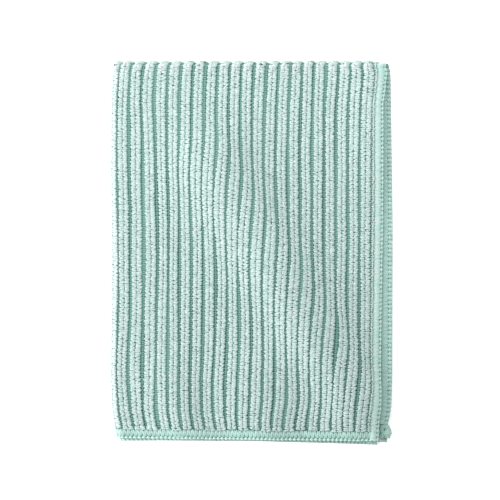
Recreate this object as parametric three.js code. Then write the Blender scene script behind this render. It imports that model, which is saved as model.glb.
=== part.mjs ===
// A ribbed kitchen cloth, knitted in one piece, edged all round with overlock
// stitches and folded in four. It lies flat: the ribs run up the page, the two
// folds are its top and left edges, and its hems are open at the right and below.
// Millimetres, +Z up, origin under the middle of the cloth, on the surface.

import * as THREE from 'three';

// The flat cloth. "Across" runs over the ribs and "along" runs with them, both
// from the middle of the cloth, where the two fold lines cross.
const RIB_COUNT = 44;
const RIB_PITCH = 6.42;
const SIDE_HEM_WIDTH = 6.6;
const END_HEM_WIDTH = 5.2;
const CLOTH_WIDTH = RIB_COUNT * RIB_PITCH + 2 * SIDE_HEM_WIDTH;
const CLOTH_LENGTH = 400;

// Thickness, as heights above the middle of the cloth. The ribs stand on its face.
const GROUND_HEIGHT = 0.6;
const RIB_HEIGHT = 1.6;
const HEM_HEIGHT = 0.9;
const HEM_LIP_HEIGHT = 0.5;
const HEM_LIP_WIDTH = 0.9;
const RIB_SHOULDER = 1.2;
const RIB_END_SLOPE = 1.2;

// Spacing of the four layers, between the middles of neighbouring ones.
const BACK_TO_BACK = 2.2;
const FACE_TO_FACE = 3.6;
const TOP_FOLD_RADIUS = BACK_TO_BACK / 2;
const LEFT_FOLD_RADIUS = { outer: FACE_TO_FACE / 2 + BACK_TO_BACK, inner: FACE_TO_FACE / 2 };
const LEFT_FOLD_FLATTENING = 0.8;

// How far each layer's open edges lie from where an even fold would put them.
// Right-hand edges are read down the cloth at these shares of its length, and
// bottom edges at the left and at the right. "lift" is the layer's share of the creases,
// and "settle" is how far it comes down at its open edges, which have no ribs.
const STATIONS = [0, 0.1, 0.42, 0.82, 0.92, 0.96, 1];
const LAYERS = [
  { name: 'top', front: 1, upper: 1, lift: 1, settle: 0.6,
    right: [1.8, -0.3, -0.8, -2.2, -2.7, -2.9, -3.1], down: { left: -1, right: 0.7 } },
  { name: 'second', front: 1, upper: 0, lift: 0.3, settle: 1.6,
    right: [0.2, 0.3, 0.6, 0.4, -0.1, -1.6, 0], down: { left: 0.3, right: -1.3 } },
  { name: 'third', front: 0, upper: 0, lift: 0.1, settle: 0.6,
    right: [-2, -1, -0.8, -1, -1.8, -2.2, -2.4], down: { left: 0, right: 1 } },
  { name: 'bottom', front: 0, upper: 1, lift: 0, settle: 0.6,
    right: [0.8, -0.3, -1.4, -3, -3.6, -3.9, -4.2], down: { left: -1.4, right: 2.7 } },
];
const LEFT_FOLD_DRIFT = [1.6, 0.6, 0.5, 0.2, 0.8, 1.7, 3.2];
const SETTLE_REACH = 8.5;

// Soft creases in the upper layers. Each crest runs between two points, measured
// from the left fold and down from the top fold, and falls away over "reach".
// "drag" is how far it pushes the ribs on its left side towards the left.
const CREASES = [
  { from: [50, 52], to: [129, 176], height: 5.4, reach: 20, drag: 1.2 },
  { from: [89, 126], to: [118, 172], height: 1.4, reach: 10, drag: 0 },
  { from: [141, 12], to: [140, 44], height: 2.4, reach: 16, drag: 0 },
  { from: [76, 168], to: [79, 192], height: 3.8, reach: 22, drag: 0.3 },
  { from: [30, 176], to: [34, 194], height: 3, reach: 14, drag: 0 },
];
const CREASE_END = 20;

// Mesh steps along the cloth, from the top fold to the hem: close together in the
// half that lies on top and shows the creases, and wider in the half inside.
const TOP_FOLD_STEPS = 2;
const SHOWN_ROWS = [8, 23, 38, 53, 68, 83, 98, 113, 128, 143, 157, 171, 184];
const INNER_ROWS = [12, 62, 116, 166];

const clothColour = 0xbfe0d8;

// The value at share of a list read at the stations, eased between them.
function atStation(values, share) {
  const last = STATIONS.length - 2;
  const found = STATIONS.findIndex((station) => station > share);
  const i = found < 0 ? last : Math.min(Math.max(found - 1, 0), last);
  const step = THREE.MathUtils.clamp((share - STATIONS[i]) / (STATIONS[i + 1] - STATIONS[i]), 0, 1);
  return THREE.MathUtils.lerp(values[i], values[i + 1], step);
}

// Height of the creases and their sideways push at a point of the folded cloth.
function creasesAt(x, down) {
  let height = 0;
  let push = 0;
  for (const crease of CREASES) {
    const start = new THREE.Vector2(...crease.from);
    const run = new THREE.Vector2(...crease.to).sub(start);
    const length = run.length();
    run.normalize();
    const offset = new THREE.Vector2(x, down).sub(start);
    const onward = offset.dot(run);
    const aside = offset.x * run.y - offset.y * run.x;
    const past = Math.max(-onward, onward - length, 0);
    const fade = Math.exp(-((past / CREASE_END) ** 2));
    height += crease.height * fade * Math.exp(-((aside / crease.reach) ** 2));
    push -= crease.drag * fade * Math.exp(-(((aside / crease.reach + 0.6) / 0.6) ** 2));
  }
  return { height, push };
}

// How far a point of the flat cloth has settled, out of 1: wholly at an open edge.
function settledAt(across, along) {
  const share = (distance) => THREE.MathUtils.clamp(1 - distance / SETTLE_REACH, 0, 1) ** 2;
  const fromSide = share(CLOTH_WIDTH / 2 - Math.abs(across));
  const fromEnd = share(CLOTH_LENGTH / 2 - Math.abs(along));
  return 1 - (1 - fromSide) * (1 - fromEnd);
}

// Where a point of the flat cloth lies once it is folded: first over the top
// fold, then under at the left fold. "proud" is its height above the middle of
// the cloth, on the ribbed face.
function lay(across, along, proud) {
  const topArc = (Math.PI / 2) * TOP_FOLD_RADIUS;
  const turn = THREE.MathUtils.clamp(along / TOP_FOLD_RADIUS, -Math.PI / 2, Math.PI / 2);
  const rise = Math.sin(turn);
  const upper = (1 + rise) / 2;
  let y = (TOP_FOLD_RADIUS + proud) * Math.cos(turn) - Math.max(Math.abs(along) - topArc, 0);
  const middle = THREE.MathUtils.lerp(LEFT_FOLD_RADIUS.inner, LEFT_FOLD_RADIUS.outer, upper);
  const radius = middle + proud * rise;

  const leftArc = (Math.PI / 2) * middle;
  const roll = THREE.MathUtils.clamp(across / middle, -Math.PI / 2, Math.PI / 2);
  const front = (1 + Math.sin(roll)) / 2;
  let x = Math.max(Math.abs(across) - leftArc, 0) - LEFT_FOLD_FLATTENING * radius * Math.cos(roll);
  let z = LEFT_FOLD_RADIUS.outer + RIB_HEIGHT + radius * Math.sin(roll);

  const acrossShare = THREE.MathUtils.clamp(x / (CLOTH_WIDTH / 2), 0, 1);
  const downShare = THREE.MathUtils.clamp(-y / (CLOTH_LENGTH / 2), 0, 1);
  const crease = creasesAt(x, -y);
  const settled = settledAt(across, along);
  x += (1 - acrossShare) * atStation(LEFT_FOLD_DRIFT, downShare);
  for (const layer of LAYERS) {
    const share = (layer.front ? front : 1 - front) * (layer.upper ? upper : 1 - upper);
    const drop = THREE.MathUtils.lerp(layer.down.left, layer.down.right, acrossShare);
    x += share * acrossShare * atStation(layer.right, downShare);
    x += share * layer.lift * crease.push;
    y -= share * downShare * drop;
    z += share * (layer.lift * crease.height - layer.settle * settled);
  }
  return new THREE.Vector3(x, y, z);
}

// Columns of the mesh, across the cloth: both hems, and each rib with a groove
// on either side. The back is plain, so it needs only the hems and the grooves.
function clothColumns() {
  const edge = CLOTH_WIDTH / 2;
  const hem = (side) => [
    { across: side * edge, face: HEM_LIP_HEIGHT, back: HEM_LIP_HEIGHT },
    { across: side * (edge - HEM_LIP_WIDTH), face: HEM_HEIGHT, back: HEM_HEIGHT },
    { across: side * (edge - SIDE_HEM_WIDTH + HEM_LIP_WIDTH), face: HEM_HEIGHT, back: HEM_HEIGHT },
  ];
  const columns = hem(-1);
  for (let rib = 0; rib <= RIB_COUNT; rib++) {
    const groove = (rib - RIB_COUNT / 2) * RIB_PITCH;
    columns.push({ across: groove, face: GROUND_HEIGHT, back: GROUND_HEIGHT });
    if (rib === RIB_COUNT) continue;
    columns.push({ across: groove + RIB_SHOULDER, face: RIB_HEIGHT });
    if (Math.abs(groove + RIB_PITCH / 2) < RIB_PITCH) {
      columns.push({ across: groove + RIB_PITCH / 2, face: RIB_HEIGHT });
    }
    columns.push({ across: groove + RIB_PITCH - RIB_SHOULDER, face: RIB_HEIGHT });
  }
  return columns.concat(hem(1).reverse());
}

// Rows of the mesh, along the cloth. "ribbed" is the share of the ribs' relief
// at that row, which the hem flattens, and "lip" thins the hem's very edge.
function clothRows() {
  const topArc = (Math.PI / 2) * TOP_FOLD_RADIUS;
  const edge = CLOTH_LENGTH / 2;
  const half = (side, openRows) => {
    const rows = [];
    for (let step = 1; step <= TOP_FOLD_STEPS; step++) {
      rows.push({ along: (side * topArc * step) / TOP_FOLD_STEPS, ribbed: 1, lip: 0 });
    }
    for (const row of openRows) rows.push({ along: side * (topArc + row), ribbed: 1, lip: 0 });
    rows.push({ along: side * (edge - END_HEM_WIDTH - RIB_END_SLOPE), ribbed: 1, lip: 0 });
    rows.push({ along: side * (edge - END_HEM_WIDTH), ribbed: 0, lip: 0 });
    rows.push({ along: side * (edge - HEM_LIP_WIDTH), ribbed: 0, lip: 0 });
    rows.push({ along: side * edge, ribbed: 0, lip: 1 });
    return rows;
  };
  return [...half(-1, INNER_ROWS).reverse(), { along: 0, ribbed: 1, lip: 0 }, ...half(1, SHOWN_ROWS)];
}

// Height of one side of the cloth where a column and a row cross: the column's
// own away from the bottom hems, and the hem's in them.
function heightAt(profile, row) {
  const hem = THREE.MathUtils.lerp(HEM_HEIGHT, HEM_LIP_HEIGHT, row.lip);
  const inHem = profile === HEM_LIP_HEIGHT ? profile : hem;
  return THREE.MathUtils.lerp(inHem, profile, row.ribbed);
}

// The cloth as one closed skin: the ribbed face, the plain back and the four edges.
function foldedCloth() {
  const columns = clothColumns();
  const backColumns = columns.filter((column) => column.back);
  const rows = clothRows();
  const points = [];
  for (const row of rows) {
    for (const column of columns) {
      points.push(lay(column.across, row.along, heightAt(column.face, row)));
    }
  }
  for (const row of rows) {
    for (const column of backColumns) {
      points.push(lay(column.across, row.along, -heightAt(column.back, row)));
    }
  }

  const faceAt = (row, column) => row * columns.length + column;
  const backAt = (row, column) => rows.length * columns.length + row * backColumns.length + column;
  const triangles = [];
  const quad = (a, b, c, d) => triangles.push(a, b, c, a, c, d);
  const lastRow = rows.length - 1;
  for (let row = 0; row < lastRow; row++) {
    for (let column = 0; column < columns.length - 1; column++) {
      quad(faceAt(row, column), faceAt(row + 1, column), faceAt(row + 1, column + 1), faceAt(row, column + 1));
    }
    for (let column = 0; column < backColumns.length - 1; column++) {
      quad(backAt(row, column), backAt(row, column + 1), backAt(row + 1, column + 1), backAt(row + 1, column));
    }
    const [face, back] = [columns.length - 1, backColumns.length - 1];
    quad(faceAt(row, 0), backAt(row, 0), backAt(row + 1, 0), faceAt(row + 1, 0));
    quad(faceAt(row, face), faceAt(row + 1, face), backAt(row + 1, back), backAt(row, back));
  }

  // The bottom hems' edges: the ribbed side has more columns, so each stretch of
  // the back fans out to the columns that face it.
  for (let back = 0; back < backColumns.length - 1; back++) {
    const start = columns.indexOf(backColumns[back]);
    const end = columns.indexOf(backColumns[back + 1]);
    for (let column = start; column < end; column++) {
      triangles.push(backAt(0, back), faceAt(0, column), faceAt(0, column + 1));
      triangles.push(backAt(lastRow, back), faceAt(lastRow, column + 1), faceAt(lastRow, column));
    }
    triangles.push(backAt(0, back), faceAt(0, end), backAt(0, back + 1));
    triangles.push(backAt(lastRow, back), backAt(lastRow, back + 1), faceAt(lastRow, end));
  }

  const geometry = new THREE.BufferGeometry().setFromPoints(points);
  geometry.setIndex(triangles);
  geometry.computeBoundingBox();
  const box = geometry.boundingBox;
  const middle = box.getCenter(new THREE.Vector3());
  geometry.translate(-middle.x, -middle.y, -box.min.z);
  geometry.computeVertexNormals();
  return geometry;
}

const cloth = new THREE.Mesh(
  foldedCloth(),
  new THREE.MeshStandardMaterial({ color: clothColour, roughness: 0.95, metalness: 0 }),
);
cloth.name = 'folded_cloth';

const kitchenCloth = new THREE.Group();
kitchenCloth.add(cloth);

export default kitchenCloth;
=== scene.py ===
import math

import bmesh
import bpy
import numpy as np
from mathutils import Matrix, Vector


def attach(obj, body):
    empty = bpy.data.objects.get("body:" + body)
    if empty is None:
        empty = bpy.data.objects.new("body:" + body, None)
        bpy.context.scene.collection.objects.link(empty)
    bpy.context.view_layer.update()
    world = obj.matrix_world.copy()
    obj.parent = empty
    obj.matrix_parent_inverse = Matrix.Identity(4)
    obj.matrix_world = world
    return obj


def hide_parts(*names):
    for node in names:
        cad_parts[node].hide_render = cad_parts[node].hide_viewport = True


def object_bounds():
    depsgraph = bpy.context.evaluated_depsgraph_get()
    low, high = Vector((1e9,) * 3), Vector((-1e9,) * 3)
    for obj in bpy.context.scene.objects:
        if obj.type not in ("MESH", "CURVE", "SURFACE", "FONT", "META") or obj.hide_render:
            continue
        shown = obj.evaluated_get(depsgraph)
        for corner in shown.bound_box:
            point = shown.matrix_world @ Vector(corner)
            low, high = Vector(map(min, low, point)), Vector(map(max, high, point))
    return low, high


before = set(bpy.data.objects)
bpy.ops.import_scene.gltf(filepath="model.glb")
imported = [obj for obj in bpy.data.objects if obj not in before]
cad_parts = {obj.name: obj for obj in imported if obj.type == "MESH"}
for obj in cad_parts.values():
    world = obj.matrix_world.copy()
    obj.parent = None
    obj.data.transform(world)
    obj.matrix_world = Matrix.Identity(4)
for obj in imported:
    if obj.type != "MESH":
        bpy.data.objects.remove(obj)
cad_low, cad_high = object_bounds()


# The panel: one piece of ribbed cotton knit, 30 by 40 cm, folded over the fold at
# the top and then under at the fold on the left. It is the ground that the terry
# pile grows from: thin between the ribs, a little raised under them, plain behind.

RIB_COUNT = 44
RIB_PITCH = 0.00642
SIDE_HEM = 0.0066
END_HEM = 0.0052
HALF_WIDTH = RIB_COUNT * RIB_PITCH / 2 + SIDE_HEM
HALF_LENGTH = 0.200

# Heights over the middle of the sheet, below it for the back, and where the two
# rows of pile stand beside the middle of a rib.
PILE_TOP = 0.0016
GROUND_FACE = 0.00035
GROUND_CROWN = 0.00115
ROW_OFFSET = 0.00131
ROW_SPREAD = 0.00102
GROUND_BACK = 0.0004
HEM_GROUND = 0.00035

# The groove beside a rib, in shares of the rib pitch from the middle of the rib.
GROOVE_FROM = 0.3
GROOVE_TO = 0.45

# How far apart the middles of two layers lie, back to back in the first fold and
# face to face in the second.
BACK_TO_BACK = 0.0022
FACE_TO_FACE = 0.0036
TOP_FOLD_RADIUS = BACK_TO_BACK / 2
LEFT_FOLD_INNER = FACE_TO_FACE / 2
LEFT_FOLD_OUTER = LEFT_FOLD_INNER + BACK_TO_BACK
LEFT_FOLD_FLATTENING = 0.8

# Where each layer's open edges lie, against an even fold: "right" is read down the
# cloth at the stations, and "down" at the left and right ends of the bottom edge.
# The open edges come down by "settle", as the hems have no pile between them, and
# "lift" is the layer's share of the creases. Further in the offsets fade away. The
# left fold has a drift of its own, read at the same stations.
STATIONS = (0, 0.015, 0.1, 0.42, 0.82, 0.92, 0.96, 1)
LAYERS = (
    dict(front=1, upper=1, lift=1, settle=0.0011,
         down=(-0.0010, 0.0007),
         right=(0.0002, 0.0012, -0.0007, -0.0008, -0.0022, -0.0027, -0.0029, -0.0031)),
    dict(front=1, upper=0, lift=0.3, settle=0.0017,
         down=(0.0003, -0.0013),
         right=(-0.0012, -0.0005, -0.0003, 0.0006, 0.0004, -0.0003, -0.0022, 0)),
    dict(front=0, upper=0, lift=0.1, settle=-0.0004,
         down=(0, 0.001),
         right=(-0.0030, -0.0020, -0.0010, -0.0008, -0.0010, -0.0018, -0.0022, -0.0024)),
    dict(front=0, upper=1, lift=0, settle=0.0005,
         down=(-0.0014, 0.0027),
         right=(-0.0010, 0.0003, -0.0003, -0.0014, -0.003, -0.0036, -0.0039, -0.0042)),
)
EDGE_FADE = 6
SETTLE_REACH = 0.0085
LEFT_FOLD_DRIFT = (0.0018, 0.0013, 0.0006, 0.0005, 0.0002, 0.0008, 0.0017, 0.0032)

# Soft creases, each along a line between two points measured from the left fold
# and down from the top fold. It drags the ribs on its left slope to the left,
# kicks those on its right slope to the right, and closes the grooves on its left.
# Past the two points it fades away over CREASE_END.
CREASES = (
    dict(start=(0.050, 0.052), end=(0.129, 0.176), height=0.0054, reach=0.020,
         drag=0.0012, kick=0.0009, close=0.00052),
    dict(start=(0.089, 0.126), end=(0.118, 0.172), height=0.0014, reach=0.010,
         drag=0, kick=0, close=0),
    dict(start=(0.135, 0.010), end=(0.139, 0.044), height=0.0029, reach=0.016,
         drag=0, kick=0, close=0.00034),
    dict(start=(0.076, 0.168), end=(0.079, 0.192), height=0.0038, reach=0.022,
         drag=0.0003, kick=0, close=0),
    dict(start=(0.030, 0.176), end=(0.034, 0.194), height=0.0030, reach=0.014,
         drag=0, kick=0, close=0),
)
CREASE_END = 0.020

# Where on a crease's slopes each of these is strongest, and how far it reaches: the
# ridge line is 0, and the slopes are steepest near -0.7 and 0.7.
DRAG_SLOPE = (-0.6, 0.6)
KICK_SLOPE = (0.45, 0.35)
CLOSE_SLOPE = (-0.52, 0.52)

# Places where all the ribs lean sideways together, measured in the same way.
SWAYS = (
    dict(at=(0.085, 0.000), shift=0.0007, reach=(0.050, 0.020)),
    dict(at=(0.020, 0.112), shift=0.0013, reach=(0.008, 0.055)),
    dict(at=(0.004, 0.050), shift=-0.0012, reach=(0.010, 0.050)),
    dict(at=(0.006, 0.165), shift=-0.0014, reach=(0.009, 0.030)),
    dict(at=(0.054, 0.176), shift=-0.0014, reach=(0.022, 0.020)),
    dict(at=(0.018, 0.197), shift=0.0010, reach=(0.035, 0.010)),
    dict(at=(0.095, 0.193), shift=-0.0030, reach=(0.030, 0.012)),
    dict(at=(0.012, 0.008), shift=-0.0011, reach=(0.016, 0.022)),
)


def bell(value, middle, reach):
    """One at the middle, fading softly to nothing on both sides of it."""
    return np.exp(-(((value - middle) / reach) ** 2))


def creases_at(x, down):
    """How far the creases raise the folded cloth, push it sideways and close its grooves."""
    height = np.zeros_like(x)
    push = np.zeros_like(x)
    closing = np.zeros_like(x)
    for crease in CREASES:
        start = np.array(crease["start"])
        run = np.array(crease["end"]) - start
        length = np.hypot(*run)
        run = run / length
        onward = (x - start[0]) * run[0] + (down - start[1]) * run[1]
        aside = (x - start[0]) * run[1] - (down - start[1]) * run[0]
        past = np.maximum(np.maximum(-onward, onward - length), 0)
        fade = bell(past, 0, CREASE_END)
        slope = aside / crease["reach"]
        height += crease["height"] * fade * bell(slope, 0, 1)
        push -= crease["drag"] * fade * bell(slope, *DRAG_SLOPE)
        push += crease["kick"] * fade * bell(slope, *KICK_SLOPE)
        closing += crease["close"] * fade * bell(slope, *CLOSE_SLOPE)
    return height, push, closing


def fold(flat):
    """Lays points of the flat cloth (across, along, proud of its middle) as it is folded."""
    across, along, proud = flat[:, 0], flat[:, 1], flat[:, 2]
    quarter = math.pi / 2

    # Over the top fold, which leaves the sheet's two ends one on the other.
    turn = np.clip(along / TOP_FOLD_RADIUS, -quarter, quarter)
    rise = np.sin(turn)
    upper = (1 + rise) / 2
    y = (TOP_FOLD_RADIUS + proud) * np.cos(turn)
    y -= np.maximum(np.abs(along) - quarter * TOP_FOLD_RADIUS, 0)

    # Then under at the left fold, with the upper layer on the outside of the bend.
    middle = LEFT_FOLD_INNER + (LEFT_FOLD_OUTER - LEFT_FOLD_INNER) * upper
    radius = middle + proud * rise
    roll = np.clip(across / middle, -quarter, quarter)
    front = (1 + np.sin(roll)) / 2
    x = np.maximum(np.abs(across) - quarter * middle, 0)
    at_edge = np.clip(x / (HALF_WIDTH - quarter * middle), 0, 1)
    x -= LEFT_FOLD_FLATTENING * radius * np.cos(roll)
    z = LEFT_FOLD_OUTER + PILE_TOP + radius * np.sin(roll)

    # Last the creases, the ribs' sways and each layer's own edges.
    from_side = np.clip(1 - (HALF_WIDTH - np.abs(across)) / SETTLE_REACH, 0, 1) ** 2
    from_end = np.clip(1 - (HALF_LENGTH - np.abs(along)) / SETTLE_REACH, 0, 1) ** 2
    settled = 1 - (1 - from_side) * (1 - from_end)
    rightward = np.clip(x / HALF_WIDTH, 0, 1)
    downward = np.clip(-y / HALF_LENGTH, 0, 1)
    height, push, _ = creases_at(x, -y)
    for sway in SWAYS:
        beside = bell(x, sway["at"][0], sway["reach"][0])
        push += sway["shift"] * beside * bell(-y, sway["at"][1], sway["reach"][1])
    x = x + (1 - rightward) * np.interp(downward, STATIONS, LEFT_FOLD_DRIFT)
    for layer in LAYERS:
        share = (front if layer["front"] else 1 - front) * (upper if layer["upper"] else 1 - upper)
        left, right = layer["down"]
        x += share * at_edge ** EDGE_FADE * np.interp(downward, STATIONS, layer["right"])
        x += share * layer["lift"] * push
        y = y - share * downward * (left + (right - left) * rightward)
        z += share * (layer["lift"] * height - layer["settle"] * settled)
    return np.stack([x, y, z], axis=1)


# The ribs wander a little sideways along their length, each in its own way: slow
# waves with seeded phases, the same for the ground and for its pile.
rng = np.random.default_rng(20)
WAVES = 3
WANDER = 0.00012
wander_phase = rng.uniform(0, 2 * math.pi, (RIB_COUNT, WAVES))
wander_length = rng.uniform(0.040, 0.130, (RIB_COUNT, WAVES))


def rib_wander(rib, along):
    """Sideways drift of a rib from its even place."""
    drift = np.zeros_like(along)
    for wave in range(WAVES):
        drift += np.sin(2 * math.pi * along / wander_length[rib, wave] + wander_phase[rib, wave])
    return WANDER * drift


# Columns and rows of the flat panel, closer together over the ribs and at the top
# fold, with one of each through a small hole left by the sewing at one corner.
# Pairs are distances in from a side edge and from an end edge.
CORNER_IN = (0.0018, 0.0040)
HEM_MIDDLE = (0.0034, 0.0018)
RIM_IN = (0.0006, 0.0005)
RIBS_IN = 1.2 * END_HEM
LAST_RIBBED_ROW_IN = 1.5 * END_HEM
NEEDLE_ROW_IN = 1.05 * END_HEM
OPEN_ROW_PITCH = 0.006
FIRST_OPEN_ROW = 0.008
LAST_OPEN_ROW_IN = END_HEM + 0.003
rib_steps = np.array([0, 0.11, 0.17, 0.30, 0.44, 0.50, 0.56, 0.70, 0.83, 0.89]) * RIB_PITCH
rib_columns = [(rib - RIB_COUNT / 2) * RIB_PITCH + rib_steps for rib in range(RIB_COUNT)]
side_steps = (SIDE_HEM, 0.94 * SIDE_HEM, HEM_MIDDLE[0], CORNER_IN[0], RIM_IN[0], 0)
hem_columns = HALF_WIDTH - np.array(side_steps)
columns = np.concatenate([-hem_columns[:0:-1], *rib_columns, hem_columns])
fold_rows = TOP_FOLD_RADIUS * (math.pi / 2) * np.array([0.25, 0.5, 0.75, 1])
open_rows = np.arange(FIRST_OPEN_ROW, HALF_LENGTH - LAST_OPEN_ROW_IN, OPEN_ROW_PITCH)
end_steps = (LAST_RIBBED_ROW_IN, NEEDLE_ROW_IN, CORNER_IN[1], HEM_MIDDLE[1], RIM_IN[1], 0)
hem_rows = HALF_LENGTH - np.array(end_steps)
half_rows = np.concatenate([fold_rows, open_rows, hem_rows])
rows = np.concatenate([-half_rows[::-1], [0], half_rows])

bm = bmesh.new()
bmesh.ops.create_grid(bm, x_segments=len(columns) - 1, y_segments=len(rows) - 1, size=1)
bmesh.ops.solidify(bm, geom=bm.faces[:], thickness=GROUND_BACK)
panel_mesh = bpy.data.meshes.new("cloth_panel")
bm.to_mesh(panel_mesh)
bm.free()

grid = np.empty(len(panel_mesh.vertices) * 3)
panel_mesh.vertices.foreach_get("co", grid)
grid = grid.reshape(-1, 3)
column = np.rint((grid[:, 0] + 1) / 2 * (len(columns) - 1)).astype(int)
row = np.rint((grid[:, 1] + 1) / 2 * (len(rows) - 1)).astype(int)
across = columns[column]
along = rows[row]
on_face = grid[:, 2] > grid[:, 2].mean()
rib = np.clip(np.floor(across / RIB_PITCH + RIB_COUNT / 2).astype(int), 0, RIB_COUNT - 1)
from_rib = across / RIB_PITCH + RIB_COUNT / 2 - rib - 0.5
in_ribs = (np.abs(from_rib) <= 0.5) & (np.abs(along) < HALF_LENGTH - RIBS_IN)
from_row = (np.abs(from_rib) * RIB_PITCH - ROW_OFFSET) / ROW_SPREAD
crown = np.where(in_ribs, np.clip(1 - from_row ** 4, 0, 1), 0)
face = np.where(in_ribs, GROUND_FACE + (GROUND_CROWN - GROUND_FACE) * crown, HEM_GROUND)
wanders = in_ribs & (np.abs(from_rib) < GROOVE_TO)
across = across + np.where(wanders, rib_wander(rib, along), 0)
proud = np.where(on_face, face, -GROUND_BACK)
flat_panel = np.stack([across, along, proud], axis=1)

# The cloth is set in the frame so that its outline has the same middle as the solid.
outline = fold(np.stack([across, along, np.where(in_ribs, PILE_TOP, HEM_GROUND)], axis=1))
cad_middle = (np.array(cad_low) + np.array(cad_high)) / 2
fold_place = cad_middle - (outline.min(axis=0) + outline.max(axis=0)) / 2
fold_place[2] = 0


def place(flat):
    """Points of the flat cloth, folded and set in the frame."""
    return fold(flat) + fold_place


def write_flat_map(mesh, flat):
    """A UV map in metres of the flat cloth, so a pattern follows it through the folds."""
    corners = np.empty(len(mesh.loops), dtype=int)
    mesh.loops.foreach_get("vertex_index", corners)
    layer = mesh.uv_layers.new(name="flat_cloth")
    layer.data.foreach_set("uv", flat[corners, :2].astype(np.float32).ravel())


def write_value(mesh, label, values):
    """A named value at each point of a mesh, for its material to read."""
    attribute = mesh.attributes.new(label, "FLOAT", "POINT")
    attribute.data.foreach_set("value", values.astype(np.float32).ravel())


# The ground's painted shade beside each rib, which stands in for the shadow in the
# crevice beside the pile, comes and goes in slow waves. On the hems it is even, as
# painted shade under the sewing that shows through its gaps, deeper between the
# ribs' ends at the needle line and deepest in the hole, where the shade falls.
PAINTED_SHADE_WAVE = 0.025
HEM_PAINTED_SHADE = 0.45
NEEDLE_PAINTED_SHADE = 0.75
ON_LINE = 0.0001

write_flat_map(panel_mesh, flat_panel)
edge_waves = rng.uniform(0, 2 * math.pi, (RIB_COUNT, 2))
edge_side = (from_rib > 0).astype(int)
painted_edge_shade = 0.55 + 0.45 * np.sin(along / PAINTED_SHADE_WAVE + edge_waves[rib, edge_side])
past_rib = np.abs(from_rib) > GROOVE_FROM
beside_rib = in_ribs & past_rib & (np.abs(from_rib) < GROOVE_TO)
on_needle_row = np.abs(np.abs(along) - HALF_LENGTH + NEEDLE_ROW_IN) < ON_LINE
on_hole_column = np.abs(across - HALF_WIDTH + CORNER_IN[0]) < ON_LINE
on_hole_row = np.abs(along + HALF_LENGTH - CORNER_IN[1]) < ON_LINE
painted_plain_shade = np.where(on_needle_row & past_rib, NEEDLE_PAINTED_SHADE, HEM_PAINTED_SHADE)
painted_plain_shade = np.where(on_hole_column & on_hole_row, 1, painted_plain_shade)
write_value(panel_mesh, "cover", np.where(on_face, crown, 0))
# The value named shade is the ground's painted shade, which its material reads.
write_value(panel_mesh, "shade", np.where(in_ribs, painted_edge_shade * (on_face & beside_rib), painted_plain_shade))
panel_mesh.vertices.foreach_set("co", place(flat_panel).ravel())
panel_mesh.polygons.foreach_set("use_smooth", np.ones(len(panel_mesh.polygons), dtype=bool))
panel_mesh.update()
bm = bmesh.new()
bm.from_mesh(panel_mesh)
bmesh.ops.recalc_face_normals(bm, faces=bm.faces[:])
bm.to_mesh(panel_mesh)
bm.free()
panel = bpy.data.objects.new("cloth_panel", panel_mesh)
bpy.context.collection.objects.link(panel)


def belongs_to_cloth(piece):
    """Every piece moves with the one body, is of the cloth and stands for its solid."""
    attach(piece, "root")
    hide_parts("folded_cloth")


belongs_to_cloth(panel)


def node(tree, kind, **sockets):
    """A shader node with the named inputs set."""
    made = tree.nodes.new(kind)
    for name, value in sockets.items():
        made.inputs[name.replace("_", " ")].default_value = value
    return made


def srgb(red, green, blue):
    """A colour as it is seen, out of 255, as the shader takes it."""
    seen = [value / 255 for value in (red, green, blue)]
    return (*(c / 12.92 if c <= 0.04045 else ((c + 0.055) / 1.055) ** 2.4 for c in seen), 1)


def ramp(tree, source, *stops):
    """A colour ramp fed by source, with stops of (place, colour)."""
    made = tree.nodes.new("ShaderNodeValToRGB")
    elements = made.color_ramp.elements
    for _ in stops[2:]:
        elements.new(0.5)
    for element, (position, colour) in zip(elements, stops):
        element.position = position
        element.color = colour
    tree.links.new(source, made.inputs["Fac"])
    return made


def new_material(name, roughness, sheen):
    """A material whose plain values sit on its shader, and the shader itself."""
    material = bpy.data.materials.new(name)
    material.use_nodes = True
    shader = material.node_tree.nodes["Principled BSDF"]
    shader.inputs["Roughness"].default_value = roughness
    shader.inputs["Sheen Weight"].default_value = sheen
    shader.inputs["Sheen Roughness"].default_value = 0.5
    shader.inputs["Specular IOR Level"].default_value = 0.2
    return material, shader


# The knitted ground: a ladder of cross threads one millimetre apart, deeper in
# colour than the pile because light hardly reaches it.
LADDER_PITCH = 0.00098
ground, shader = new_material("knitted_ground", 0.95, 0.1)
tree = ground.node_tree
flat_map = node(tree, "ShaderNodeUVMap")
flat_map.uv_map = "flat_cloth"
split = node(tree, "ShaderNodeSeparateXYZ")
tree.links.new(flat_map.outputs["UV"], split.inputs["Vector"])
threads = tree.nodes.new("ShaderNodeMath")
threads.operation = "MULTIPLY"
threads.inputs[1].default_value = 2 * math.pi / LADDER_PITCH
tree.links.new(split.outputs["Y"], threads.inputs[0])
rungs = tree.nodes.new("ShaderNodeMath")
rungs.operation = "SINE"
tree.links.new(threads.outputs["Value"], rungs.inputs[0])
rung_height = tree.nodes.new("ShaderNodeMapRange")
rung_height.inputs["From Min"].default_value = -1
tree.links.new(rungs.outputs["Value"], rung_height.inputs["Value"])
# Painted shade between the cross threads: the ground is darker where the rungs dip.
ground_colour = ramp(
    tree, rung_height.outputs["Result"],
    (0.15, srgb(78, 118, 107)), (0.6, srgb(132, 176, 165)),
)


def mixed_over(tree, below, share, colour):
    """A colour laid over another by as much as share."""
    mix = tree.nodes.new("ShaderNodeMix")
    mix.data_type = "RGBA"
    over = [socket for socket in mix.inputs if socket.type == "RGBA"]
    tree.links.new(share, mix.inputs["Factor"])
    tree.links.new(below, over[0])
    over[1].default_value = colour
    return next(socket for socket in mix.outputs if socket.type == "RGBA")
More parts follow.
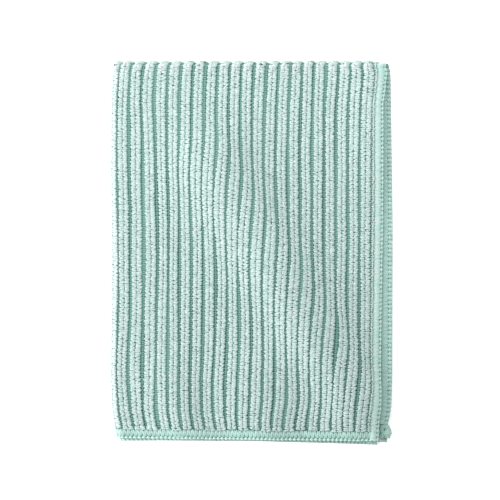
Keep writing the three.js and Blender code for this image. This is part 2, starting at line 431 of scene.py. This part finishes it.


# Painted shade: beside the ribs the ground is darkened, darkest in the holes by every second loop, where
# shade falls between the loops.
half_threads = tree.nodes.new("ShaderNodeMath")
half_threads.operation = "MULTIPLY"
half_threads.inputs[1].default_value = math.pi / LADDER_PITCH
tree.links.new(split.outputs["Y"], half_threads.inputs[0])
holes = tree.nodes.new("ShaderNodeMath")
holes.operation = "SINE"
tree.links.new(half_threads.outputs["Value"], holes.inputs[0])
hole_depth = tree.nodes.new("ShaderNodeMapRange")
hole_depth.inputs["From Min"].default_value = -1
hole_depth.inputs["To Min"].default_value = 0.35
tree.links.new(holes.outputs["Value"], hole_depth.inputs["Value"])
beside = node(tree, "ShaderNodeAttribute")
beside.attribute_name = "shade"
painted_shade_share = tree.nodes.new("ShaderNodeMath")
painted_shade_share.operation = "MULTIPLY"
tree.links.new(beside.outputs["Fac"], painted_shade_share.inputs[0])
tree.links.new(hole_depth.outputs["Result"], painted_shade_share.inputs[1])
cover = node(tree, "ShaderNodeAttribute")
cover.attribute_name = "cover"
painted_shaded_ground = mixed_over(tree, ground_colour.outputs["Color"], painted_shade_share.outputs["Value"], srgb(26, 50, 43))
covered = mixed_over(tree, painted_shaded_ground, cover.outputs["Fac"], srgb(112, 150, 141))
tree.links.new(covered, shader.inputs["Base Color"])
ground_bump = node(tree, "ShaderNodeBump", Strength=0.8, Distance=0.0003)
tree.links.new(rung_height.outputs["Result"], ground_bump.inputs["Height"])
tree.links.new(ground_bump.outputs["Normal"], shader.inputs["Normal"])
panel_mesh.materials.append(ground)


# The terry pile: loops of soft cotton yarn knitted in with the ground, two rows to a
# rib, each loop a small arch over its half of the rib. Inside the second fold they
# are made only where its open edges show them.

LOOP_PITCH = 0.00098
YARN_RADIUS = 0.00036
YARN_WIDTH = 1.4
ROW_REACH = 0.00107
LOOP_FOOT = 0.00045
LOOP_RISE = 0.00080
LOOP_SQUARENESS = 0.28
PILE_PAST_FOLD = 0.008
PILE_FROM_HEM = 0.0002
INSIDE_SHOWN = 0.010

MIDDLE_GAP = -0.00017
MIDDLE_ZIGZAG = 0.00012
GROOVE_HALF = 0.00068
GROOVE_SWING = 0.00006
GROOVE_LEAST = 0.00012
FIRST_GROOVE_CLOSE = 0.00045
HEM_PILE = (0.0001, 0.0019)
HEM_PILE_RAGGED = (0.0004, 0.0006)

# No two loops are quite alike: these are spreads from the even place, size and tone.
LOOP_THICK_SPREAD = 0.08
LOOP_RISE_SPREAD = 0.04
LOOP_LEAN_SPREAD = 0.00014
LOOP_SIDE_SPREAD = 0.00012
LOOP_ALONG_SPREAD = 0.00007
LOOP_TOP_SPREAD = 0.00004
TONE_SPREAD = 0.18

# Loops stand in pairs: the two lean opposite ways, and one reaches further out and is
# paler.
PAIR_LEAN = 0.00008
PAIR_REACH = 0.00010
PAIR_TONE = 0.08

# At the top fold the loops puff up and close over the middle of the rib. At the hems
# they fill the groove, and at the left fold, which faces the light, their flanks get
# painted light, lifted out of the yarn's painted shade.
FOLD_PUFF = 0.8
FOLD_PUFF_REACH = 0.004
FOLD_PUFF_CLOSE = 0.0004
FOLD_PUFF_FALL = 2.2
END_FILL = 0.0006
END_FILL_REACH = 0.0022
FOLD_PAINTED_LIGHT = 0.5


def template(bm):
    """The points and faces of a finished bmesh, to be copied many times."""
    bm.verts.ensure_lookup_table()
    points = np.array([vertex.co[:] for vertex in bm.verts])
    faces = np.array([[vertex.index for vertex in face.verts] for face in bm.faces])
    bm.free()
    return points, faces


def loop_arch(sides, steps):
    """One yarn loop: the outer half of the yarn, spun half a turn with square shoulders."""
    bm = bmesh.new()
    bmesh.ops.create_circle(bm, segments=2 * sides, radius=YARN_RADIUS)
    upright = Matrix.Rotation(math.pi / 2 * (sides % 2 + 1), 3, "Z")
    bmesh.ops.rotate(bm, cent=(0, 0, 0), matrix=upright, verts=bm.verts[:])
    inner = [vertex for vertex in bm.verts if vertex.co.x < -YARN_RADIUS * 0.1]
    bmesh.ops.delete(bm, geom=inner, context="VERTS")
    bmesh.ops.translate(bm, vec=(ROW_REACH, 0, 0), verts=bm.verts[:])
    bmesh.ops.spin(
        bm, geom=bm.edges[:], cent=(0, 0, 0), axis=(0, -1, 0), dvec=(0, 0, 0),
        angle=math.pi, steps=steps, use_duplicate=False,
    )
    bmesh.ops.scale(bm, vec=(1, YARN_WIDTH, 1), verts=bm.verts[:])
    for vertex in bm.verts:
        steep = vertex.co.z / math.hypot(vertex.co.x, vertex.co.z)
        if steep > 0.1:
            vertex.co.z *= steep ** (LOOP_SQUARENESS - 1)
    return template(bm)


def join_copies(name, points, faces, heights, tones, material):
    """One object of many like pieces. points is (copies, points in a piece, 3), flat."""
    copies, per_piece = points.shape[:2]
    all_faces = (faces[None] + (np.arange(copies) * per_piece)[:, None, None]).reshape(-1, faces.shape[1])
    flat = points.reshape(-1, 3)
    mesh = bpy.data.meshes.new(name)
    mesh.vertices.add(len(flat))
    mesh.vertices.foreach_set("co", place(flat).ravel())
    mesh.loops.add(all_faces.size)
    mesh.loops.foreach_set("vertex_index", all_faces.ravel())
    mesh.polygons.add(len(all_faces))
    mesh.polygons.foreach_set("loop_start", np.arange(0, all_faces.size, faces.shape[1]))
    mesh.polygons.foreach_set("use_smooth", np.ones(len(all_faces), dtype=bool))
    mesh.update(calc_edges=True)
    write_value(mesh, "height", heights)
    write_value(mesh, "tone", tones)
    write_flat_map(mesh, flat)
    mesh.validate()
    mesh.materials.append(material)
    made = bpy.data.objects.new(name, mesh)
    bpy.context.collection.objects.link(made)
    return made


# How wide each groove is left by the pile on its two sides: slow waves again, and
# narrower on the slopes of the creases and beside the left fold.
groove_phase = rng.uniform(0, 2 * math.pi, (RIB_COUNT + 1, WAVES))
groove_length = rng.uniform(0.050, 0.180, (RIB_COUNT + 1, WAVES))


def groove_half(groove, along):
    """Half the width of a groove between the pile of two ribs."""
    if groove in (0, RIB_COUNT):
        return np.full_like(along, GROOVE_LEAST)
    swell = np.zeros_like(along)
    for wave in range(WAVES):
        swell += np.sin(2 * math.pi * along / groove_length[groove, wave] + groove_phase[groove, wave])
    across = (groove - RIB_COUNT / 2) * RIB_PITCH - math.pi / 2 * LEFT_FOLD_OUTER
    _, _, closing = creases_at(np.full_like(along, across), along - math.pi / 2 * TOP_FOLD_RADIUS)
    closing = closing + FIRST_GROOVE_CLOSE * bell(across, 0, RIB_PITCH / math.sqrt(2))
    return np.maximum(GROOVE_HALF + GROOVE_SWING * swell - closing, GROOVE_LEAST)


def lay_loops(arch, along, near, far, side, pair):
    """A row of loops at the places along, each standing from near to far across."""
    count = len(along)
    thick = rng.normal(1, LOOP_THICK_SPREAD, count)
    lean = rng.normal(0, LOOP_LEAN_SPREAD, count) + PAIR_LEAN * pair
    rise = rng.normal(1, LOOP_RISE_SPREAD, count)
    span = (far - near) / 2 / (ROW_REACH + YARN_RADIUS)
    loop = np.empty((count, len(arch), 3))
    loop[:, :, 0] = ((near + far) / 2)[:, None] + arch[None, :, 0] * span[:, None]
    loop[:, :, 0] *= side
    loop[:, :, 1] = along[:, None] + arch[None, :, 1] * thick[:, None]
    loop[:, :, 1] += (arch[None, :, 0] / ROW_REACH) * lean[:, None]
    loop[:, :, 2] = LOOP_FOOT + arch[None, :, 2] * (LOOP_RISE / ROW_REACH) * rise[:, None]
    loop[:, :, 2] += rng.normal(0, LOOP_TOP_SPREAD, count)[:, None]
    loop[:, :, 2] = np.minimum(loop[:, :, 2], PILE_TOP)
    return loop


def pile_rows(name, ribs, start, end, sides, steps):
    """The loops of the given ribs from start to end along the cloth, in one piece."""
    arch, faces = loop_arch(sides, steps)
    places = np.arange(start, end, LOOP_PITCH)
    count = len(places)
    pair = (np.arange(count) % 2) * 2 - 1
    pieces = []
    paler = []
    for rib in ribs:
        along = places + rng.uniform(0, LOOP_PITCH)
        middle = (rib + 0.5 - RIB_COUNT / 2) * RIB_PITCH + rib_wander(rib, along)
        for side in (-1, 1):
            puffed = FOLD_PUFF * np.where(
                (along > 0) & (rib >= RIB_COUNT // 2),
                bell(along, 0, FOLD_PUFF_REACH),
                np.clip(1 - np.abs(along) / (math.pi / 2 * TOP_FOLD_RADIUS), 0, 1),
            )
            near = MIDDLE_GAP - side * pair * MIDDLE_ZIGZAG + rng.normal(0, LOOP_SIDE_SPREAD, count)
            near -= FOLD_PUFF_CLOSE * puffed
            far = RIB_PITCH / 2 - groove_half(rib + (side + 1) // 2, along)
            far += PAIR_REACH * pair + rng.normal(0, LOOP_SIDE_SPREAD, count)
            from_end = np.clip((HALF_LENGTH - END_HEM - np.abs(along)) / END_FILL_REACH, 0, 1)
            far += END_FILL * (1 - from_end) ** 2
            spread = along + rng.normal(0, LOOP_ALONG_SPREAD, count)
            loop = lay_loops(arch, spread, near, far, side, pair)
            outward = np.abs(loop[:, :, 0]) / (RIB_PITCH / 2)
            domed = puffed[:, None] * (1 - FOLD_PUFF_FALL * outward ** 2)
            loop[:, :, 2] += (loop[:, :, 2] - LOOP_FOOT) * domed
            loop[:, :, 0] += middle[:, None]
            pieces.append(loop)
            # The two ribs at the left fold get painted light on their flanks.
            paler.append(FOLD_PAINTED_LIGHT if rib in (RIB_COUNT // 2 - 1, RIB_COUNT // 2) else 0)
        if rib in (0, RIB_COUNT - 1):
            near = HALF_WIDTH - SIDE_HEM + HEM_PILE[0] + rng.uniform(0, HEM_PILE_RAGGED[0], count)
            far = HALF_WIDTH - SIDE_HEM + HEM_PILE[1] - rng.uniform(0, HEM_PILE_RAGGED[1], count)
            pieces.append(lay_loops(arch, along, near, far, 1 if rib else -1, pair))
            paler.append(0)
    points = np.concatenate(pieces)
    # The heights set the yarn's painted shade, deep at the loops' feet and pale at their tops.
    heights = (points[:, :, 2] - LOOP_FOOT) / (PILE_TOP - LOOP_FOOT)
    heights = np.clip(heights + np.repeat(paler, count)[:, None], 0, 1)
    pairs = np.resize(pair, len(points))
    tones = 0.5 + PAIR_TONE * pairs + rng.uniform(-TONE_SPREAD, TONE_SPREAD, len(points))
    tones = np.repeat(tones[:, None], len(arch), axis=1)
    return join_copies(name, points, faces, heights, tones, terry)


terry, shader = new_material("terry_yarn", 0.9, 0.08)
shader.inputs["Specular IOR Level"].default_value = 0.6
tree = terry.node_tree
height = node(tree, "ShaderNodeAttribute")
height.attribute_name = "height"
tone = node(tree, "ShaderNodeAttribute")
tone.attribute_name = "tone"
# Painted shade: the yarn runs from deep at the loops' feet to pale at their tops.
yarn_colour = ramp(
    tree, height.outputs["Fac"],
    (0.0, srgb(74, 112, 103)), (0.18, srgb(124, 165, 156)),
    (0.5, srgb(156, 189, 182)), (1.0, srgb(184, 196, 194)),
)
tone_shade = tree.nodes.new("ShaderNodeMapRange")
tone_shade.inputs["To Min"].default_value = 0.88
tone_shade.inputs["To Max"].default_value = 1.08
tree.links.new(tone.outputs["Fac"], tone_shade.inputs["Value"])
toned = node(tree, "ShaderNodeVectorMath")
toned.operation = "SCALE"
tree.links.new(yarn_colour.outputs["Color"], toned.inputs["Vector"])
tree.links.new(tone_shade.outputs["Result"], toned.inputs["Scale"])
where = node(tree, "ShaderNodeTexCoord")
fibres = node(tree, "ShaderNodeTexNoise", Scale=2600, Detail=1)
tree.links.new(where.outputs["Object"], fibres.inputs["Vector"])
# Random fibre speckle that is also painted shade in the bump's hollows and painted highlight on its tops.
fibre_light_and_shade = ramp(
    tree, fibres.outputs["Fac"],
    (0.36, (0.36, 0.53, 0.50, 1)), (0.48, (1, 1, 1, 1)), (0.64, (1.16, 1.10, 1.11, 1)),
)
speckled = node(tree, "ShaderNodeVectorMath")
speckled.operation = "MULTIPLY"
tree.links.new(toned.outputs["Vector"], speckled.inputs[0])
tree.links.new(fibre_light_and_shade.outputs["Color"], speckled.inputs[1])
tree.links.new(speckled.outputs["Vector"], shader.inputs["Base Color"])
fibre_bump = node(tree, "ShaderNodeBump", Strength=0.7, Distance=0.0003)
tree.links.new(fibres.outputs["Fac"], fibre_bump.inputs["Height"])
tree.links.new(fibre_bump.outputs["Normal"], shader.inputs["Normal"])

pile_end = HALF_LENGTH - END_HEM - PILE_FROM_HEM
half = RIB_COUNT // 2
pile = [
    pile_rows("pile_top_left", range(half, half + 11), -PILE_PAST_FOLD, pile_end, 3, 6),
    pile_rows("pile_top_right", range(half + 11, RIB_COUNT), -PILE_PAST_FOLD, pile_end, 3, 6),
    pile_rows("pile_under_left", range(11, half), -PILE_PAST_FOLD, pile_end, 3, 4),
    pile_rows("pile_under_right", range(11), -PILE_PAST_FOLD, pile_end, 3, 4),
    pile_rows("pile_inside_below", range(RIB_COUNT), -pile_end, -pile_end + INSIDE_SHOWN, 3, 4),
    pile_rows("pile_inside_side", (0, RIB_COUNT - 1), -pile_end + INSIDE_SHOWN, -PILE_PAST_FOLD, 3, 4),
]
for piece in pile:
    belongs_to_cloth(piece)


# The overlock edge: soft thread sewn over all four edges. On both sides of the
# cloth it runs to and fro between the needle line and the rim, leg beside leg,
# and at the rim its links make a fine cord.

STITCH_PITCH = 0.0023

# The legs: how many to a stitch, and how far in from the rim they end, on the face
# of the cloth (1) and on its back (-1).
SIDE_LEGS = 3
END_LEGS = 2
LEG_OVERLAP = 1.35
LEGS_OUT = {1: 0.0014, -1: 0.0021}
LEGS_UNDER_PILE = HEM_PILE[1] - 0.0006
LEG_SLANT = {"along": 0.25, "across": 0.55}
LEG_BEND = 0.0005
THREAD_HEIGHT = 0.00024
LEG_HEIGHT = HEM_GROUND + 0.00025

# The rim's links overlap end to end, in one row on the face and two on the back. The
# needle's stitches are short and slanting, and bridges join the legs' outer ends.
LINK_RADIUS = 0.00040
LINK_WIDTH = 0.00062
LINK_LENGTH = 1.32 * STITCH_PITCH
LINK_SLANT = 0.08
LINK_HEIGHT = 0.0004
LINK_IN = 0.9 * LINK_WIDTH
LINK_ROW_PITCH = 1.3 * LINK_WIDTH
RIM_PAST_LEGS = SIDE_HEM - HEM_PILE[1] - 0.001
NEEDLE_WIDTH = 0.00034
NEEDLE_LENGTH = 0.42 * STITCH_PITCH
NEEDLE_SLANT = -0.5
NEEDLE_IN = 0.0001
NEEDLE_HEIGHT = HEM_GROUND + 0.0002
BRIDGE_LENGTH = 0.86 * STITCH_PITCH
BRIDGE_SLANT = 0.2
BRIDGE_HEIGHT = HEM_GROUND + 0.0001

# Where the sewing starts and stops, and how far its threads stray from even places.
SEWING_END = 0.0006
FIRST_STITCH = 0.0004
SEWING_SPREAD = 0.0001

# The ring of thread round the hole at one corner.
CORNER_LEGS = 22
CORNER_LEG_WIDTH = 0.0011
CORNER_HOLE = 0.0008
CORNER_RADIUS = 0.0031
CORNER_GAP = 0.0002
CORNER_FACE = 0.0009
CORNER_FULLNESS = 1.4


def thread_leg(length, width):
    """One leg of thread, lying across the hem with its two ends turned down."""
    bm = bmesh.new()
    foot = Matrix.Translation((LEG_BEND, 0, 0))
    bmesh.ops.create_circle(bm, segments=5, radius=THREAD_HEIGHT, matrix=foot)
    bmesh.ops.scale(bm, vec=(1, width / 2 / THREAD_HEIGHT, 1), verts=bm.verts[:])
    turn = dict(axis=(0, -1, 0), dvec=(0, 0, 0), angle=math.pi / 2, steps=1, use_duplicate=False)
    last = bmesh.ops.spin(bm, geom=bm.edges[:], cent=(0, 0, 0), **turn)["geom_last"]
    ring = [part for part in last if isinstance(part, bmesh.types.BMEdge)]
    run = bmesh.ops.extrude_edge_only(bm, edges=ring)["geom"]
    moved = [part for part in run if isinstance(part, bmesh.types.BMVert)]
    bmesh.ops.translate(bm, vec=(-length + 2 * LEG_BEND, 0, 0), verts=moved)
    ring = [part for part in run if isinstance(part, bmesh.types.BMEdge)]
    bmesh.ops.spin(bm, geom=ring, cent=(-length + 2 * LEG_BEND, 0, 0), **turn)
    bmesh.ops.translate(bm, vec=(length / 2 - LEG_BEND, 0, -LEG_BEND), verts=bm.verts[:])
    return template(bm)


def thread_link(width, length, slant):
    """One link of a row of stitches, a small flat bead of thread lying slantwise."""
    bm = bmesh.new()
    bmesh.ops.create_icosphere(bm, subdivisions=1, radius=LINK_RADIUS)
    bmesh.ops.scale(bm, vec=(width / LINK_RADIUS, length / 2 / LINK_RADIUS, 0.8), verts=bm.verts[:])
    bmesh.ops.rotate(bm, cent=(0, 0, 0), matrix=Matrix.Rotation(slant, 3, "Z"), verts=bm.verts[:])
    return template(bm)


# Each edge of the flat cloth: which way it runs, how far out it lies, which side
# it is on, how wide its hem is and how far from its middle the sewing reaches.
EDGES = [
    dict(runs=runs, out=out, side=side, hem=hem, reach=reach)
    for runs, out, hem, reach in (
        ("along", HALF_WIDTH, SIDE_HEM, HALF_LENGTH - SEWING_END),
        ("across", HALF_LENGTH, END_HEM, HALF_WIDTH - SIDE_HEM + HEM_PILE[1]),
    )
    for side in (1, -1)
]


def sew(edge, shape, inward, onward, height, slant, face):
    """Copies of shape beside an edge: inward from it, onward along it, on one face."""
    count = len(onward)
    part = np.empty((count, len(shape), 3))
    out = edge["out"] - inward[:, None] + shape[None, :, 0]
    run = onward[:, None] + shape[None, :, 1] + slant[:, None] * shape[None, :, 0]
    part[:, :, 0 if edge["runs"] == "along" else 1] = edge["side"] * out
    part[:, :, 1 if edge["runs"] == "along" else 0] = run
    part[:, :, 2] = face * (height[:, None] + shape[None, :, 2])
    return part


thread, shader = new_material("overlock_thread", 0.75, 0.15)
tree = thread.node_tree
tone = node(tree, "ShaderNodeAttribute")
tone.attribute_name = "tone"
thread_colour = ramp(
    tree, tone.outputs["Fac"],
    (0, srgb(145, 173, 166)), (0.5, srgb(162, 201, 190)), (1, srgb(199, 208, 208)),
)
tree.links.new(thread_colour.outputs["Color"], shader.inputs["Base Color"])
flat_map = node(tree, "ShaderNodeUVMap")
flat_map.uv_map = "flat_cloth"
plies = node(tree, "ShaderNodeTexNoise", Scale=2500, Detail=2)
tree.links.new(flat_map.outputs["UV"], plies.inputs["Vector"])
ply_bump = node(tree, "ShaderNodeBump", Strength=0.4, Distance=0.0001)
tree.links.new(plies.outputs["Fac"], ply_bump.inputs["Height"])
tree.links.new(ply_bump.outputs["Normal"], shader.inputs["Normal"])

# Tones run from 0, deep and a little grey, to 1, pale. They carry painted light and
# shade: along the sides the legs on the face are paler, as that hem lies in the light,
# and those on the back deeper, as that hem lies in the shade of the layer above it;
# the corner ring is given a deep tone as painted shade. The legs along the ends are
# the deeper ones. A pair is a middle tone and its spread.
LEG_TONE_SPREAD = 0.16
RIM_TONE = (0.52, 0.16)
CORNER_SHADED_TONE = (0.25, 0.12)


def toned_copies(name, parts, faces, middles, spread):
    """Joins sewn copies, each with a tone of its own near the middle given for its part."""
    points = np.concatenate(parts)
    middle = np.repeat(middles, [len(part) for part in parts])
    tones = middle + rng.uniform(-spread, spread, len(points))
    tones = np.repeat(tones[:, None], points.shape[1], axis=1)
    return join_copies(name, points, faces, np.ones_like(tones), tones, thread)


sewing = []
# The face and back tones of the side legs are painted light and shade.
for name, runs, per_stitch, legs_in, face_tone, back_tone in (
    ("overlock_sides", "along", SIDE_LEGS, LEGS_UNDER_PILE, 0.70, 0.56),
    ("overlock_ends", "across", END_LEGS, 0, 0.16, 0.34),
):
    legs = []
    for edge in (edge for edge in EDGES if edge["runs"] == runs):
        leg_pitch = STITCH_PITCH / per_stitch
        for face in (1, -1):
            length = edge["hem"] - LEGS_OUT[face] - (legs_in if face > 0 else 0)
            leg, leg_faces = thread_leg(length, leg_pitch * LEG_OVERLAP)
            onward = np.arange(-edge["reach"] + FIRST_STITCH, edge["reach"], leg_pitch)
            if (runs, edge["side"], face) == ("along", 1, -1):
                from_corner = np.abs(onward + HALF_LENGTH - CORNER_IN[1])
                onward = onward[from_corner > CORNER_RADIUS + CORNER_GAP]
            way = (np.arange(len(onward)) % 2) * 2 - 1
            onward = onward + rng.normal(0, 0.03, len(onward)) * leg_pitch
            inward = LEGS_OUT[face] + length / 2 + rng.normal(0, SEWING_SPREAD, len(onward))
            height = LEG_HEIGHT + rng.normal(0, 0.3 * SEWING_SPREAD, len(onward))
            slant = way * leg_pitch * LEG_SLANT[runs] / length + rng.normal(0, 0.02, len(onward))
            legs.append(sew(edge, leg, inward, onward, height, slant, face))
    tones = [face_tone, back_tone] * 2
    sewing.append(toned_copies(name, legs, leg_faces, tones, LEG_TONE_SPREAD))

link, link_faces = thread_link(LINK_WIDTH, LINK_LENGTH, LINK_SLANT)
stitch, _ = thread_link(NEEDLE_WIDTH, NEEDLE_LENGTH, NEEDLE_SLANT)
bridge, _ = thread_link(NEEDLE_WIDTH, BRIDGE_LENGTH, BRIDGE_SLANT)
links = []
for edge in EDGES:
    for face in (1, -1):
        onward = np.arange(-edge["reach"] + FIRST_STITCH, edge["reach"], STITCH_PITCH / 2)
        onward = onward + rng.normal(0, SEWING_SPREAD, len(onward))
        inward = edge["hem"] - NEEDLE_IN + rng.normal(0, SEWING_SPREAD, len(onward))
        height = NEEDLE_HEIGHT + rng.normal(0, 0.5 * SEWING_SPREAD, len(onward))
        links.append(sew(edge, stitch, inward, onward, height, np.zeros(len(onward)), face))
        reach = edge["reach"] + (0 if edge["runs"] == "along" else RIM_PAST_LEGS)
        onward = np.arange(-reach + FIRST_STITCH, reach, STITCH_PITCH)
        slant = np.zeros(len(onward))
        inward = LINK_IN + rng.normal(0, 0.4 * SEWING_SPREAD, len(onward))
        height = np.full(len(onward), LINK_HEIGHT)
        links.append(sew(edge, link, inward, onward, height, slant, face))
        if face < 0:
            links.append(sew(edge, link, inward + LINK_ROW_PITCH, onward, height, slant, face))
        inward = LEGS_OUT[face] - NEEDLE_IN + rng.normal(0, 0.6 * SEWING_SPREAD, len(onward))
        height = np.full(len(onward), BRIDGE_HEIGHT)
        links.append(sew(edge, bridge, inward, onward, height, slant, face))
tones = [RIM_TONE[0]] * len(links)
sewing.append(toned_copies("overlock_rim", links, link_faces, tones, RIM_TONE[1]))

# At one corner, under the shown one, the sewing turns round on itself and leaves
# a hole: legs of thread set in a ring, with the rim's links around them.
length = CORNER_RADIUS - CORNER_HOLE
leg, leg_faces = thread_leg(length, CORNER_LEG_WIDTH)
angle = 2 * math.pi * (np.arange(CORNER_LEGS) + rng.normal(0, 0.08, CORNER_LEGS)) / CORNER_LEGS
squared = (np.cos(angle) ** 4 + np.sin(angle) ** 4) ** -0.25
outward = CORNER_HOLE + (leg[None, :, 0] + length / 2) * squared[:, None]
ring = np.empty((CORNER_LEGS, len(leg), 3))
ring[:, :, 0] = outward * np.cos(angle)[:, None] - leg[None, :, 1] * np.sin(angle)[:, None]
ring[:, :, 1] = outward * np.sin(angle)[:, None] + leg[None, :, 1] * np.cos(angle)[:, None]
ring[:, :, 0] += HALF_WIDTH - CORNER_IN[0]
ring[:, :, 1] += CORNER_IN[1] - HALF_LENGTH
ring[:, :, 2] = -(leg[None, :, 2] * CORNER_FULLNESS + CORNER_FACE)
sewing.append(toned_copies("overlock_corner", [ring], leg_faces, CORNER_SHADED_TONE[:1], CORNER_SHADED_TONE[1]))

for piece in sewing:
    belongs_to_cloth(piece)


# The stage: a plain white floor, a little lit from within like a light table, two
# soft lights from the left, the second low, another from beyond the top fold and a
# pale room, with the camera straight above as in the photograph.

# How large a pixel of the photograph is on the cloth, and where the photograph's
# middle and the cloth's left and top edges lie, in pixels.
PIXEL = 0.00053
PHOTO_MIDDLE = 250
CLOTH_LEFT = 110
CLOTH_TOP = 61.3
CAMERA_HEIGHT = 3.5
CLOTH_FACE_HEIGHT = 0.011

bm = bmesh.new()
bmesh.ops.create_grid(bm, x_segments=1, y_segments=1, size=3)
floor_mesh = bpy.data.meshes.new("floor")
bm.to_mesh(floor_mesh)
bm.free()
floor = bpy.data.objects.new("floor", floor_mesh)
bpy.context.collection.objects.link(floor)
floor_paint, shader = new_material("floor_paint", 0.9, 0)
shader.inputs["Base Color"].default_value = (0.93, 0.93, 0.93, 1)
shader.inputs["Emission Color"].default_value = (1, 1, 1, 1)
shader.inputs["Emission Strength"].default_value = 0.4
floor_mesh.materials.append(floor_paint)

for label, energy, size, place_at in (
    ("key", 4.7, 0.35, (-0.60, -0.04, 0.60)),
    ("side_light", 4.3, 0.30, (-0.80, -0.10, 0.24)),
    ("top_light", 1.2, 0.30, (0.02, 0.27, 0.34)),
):
    light_data = bpy.data.lights.new(label, "AREA")
    light_data.energy = energy
    light_data.size = size
    light = bpy.data.objects.new(label, light_data)
    light.location = place_at
    light.rotation_euler = (-light.location).to_track_quat("-Z", "Y").to_euler()
    bpy.context.collection.objects.link(light)

world = bpy.data.worlds.new("pale_room")
bpy.context.scene.world = world
world.use_nodes = True
world.node_tree.nodes["Background"].inputs["Color"].default_value = (1, 1, 1, 1)
world.node_tree.nodes["Background"].inputs["Strength"].default_value = 0.63
bpy.context.scene.view_settings.view_transform = "Standard"

camera_data = bpy.data.cameras.new("camera")
camera_data.sensor_width = 36
camera_data.lens = 36 * (CAMERA_HEIGHT - CLOTH_FACE_HEIGHT) / (2 * PHOTO_MIDDLE * PIXEL)
camera_data.clip_end = 20
camera = bpy.data.objects.new("camera", camera_data)
camera.location = (
    cad_low.x + (PHOTO_MIDDLE - CLOTH_LEFT) * PIXEL,
    cad_high.y - (PHOTO_MIDDLE - CLOTH_TOP) * PIXEL,
    CAMERA_HEIGHT,
)
bpy.context.collection.objects.link(camera)
bpy.context.scene.camera = camera
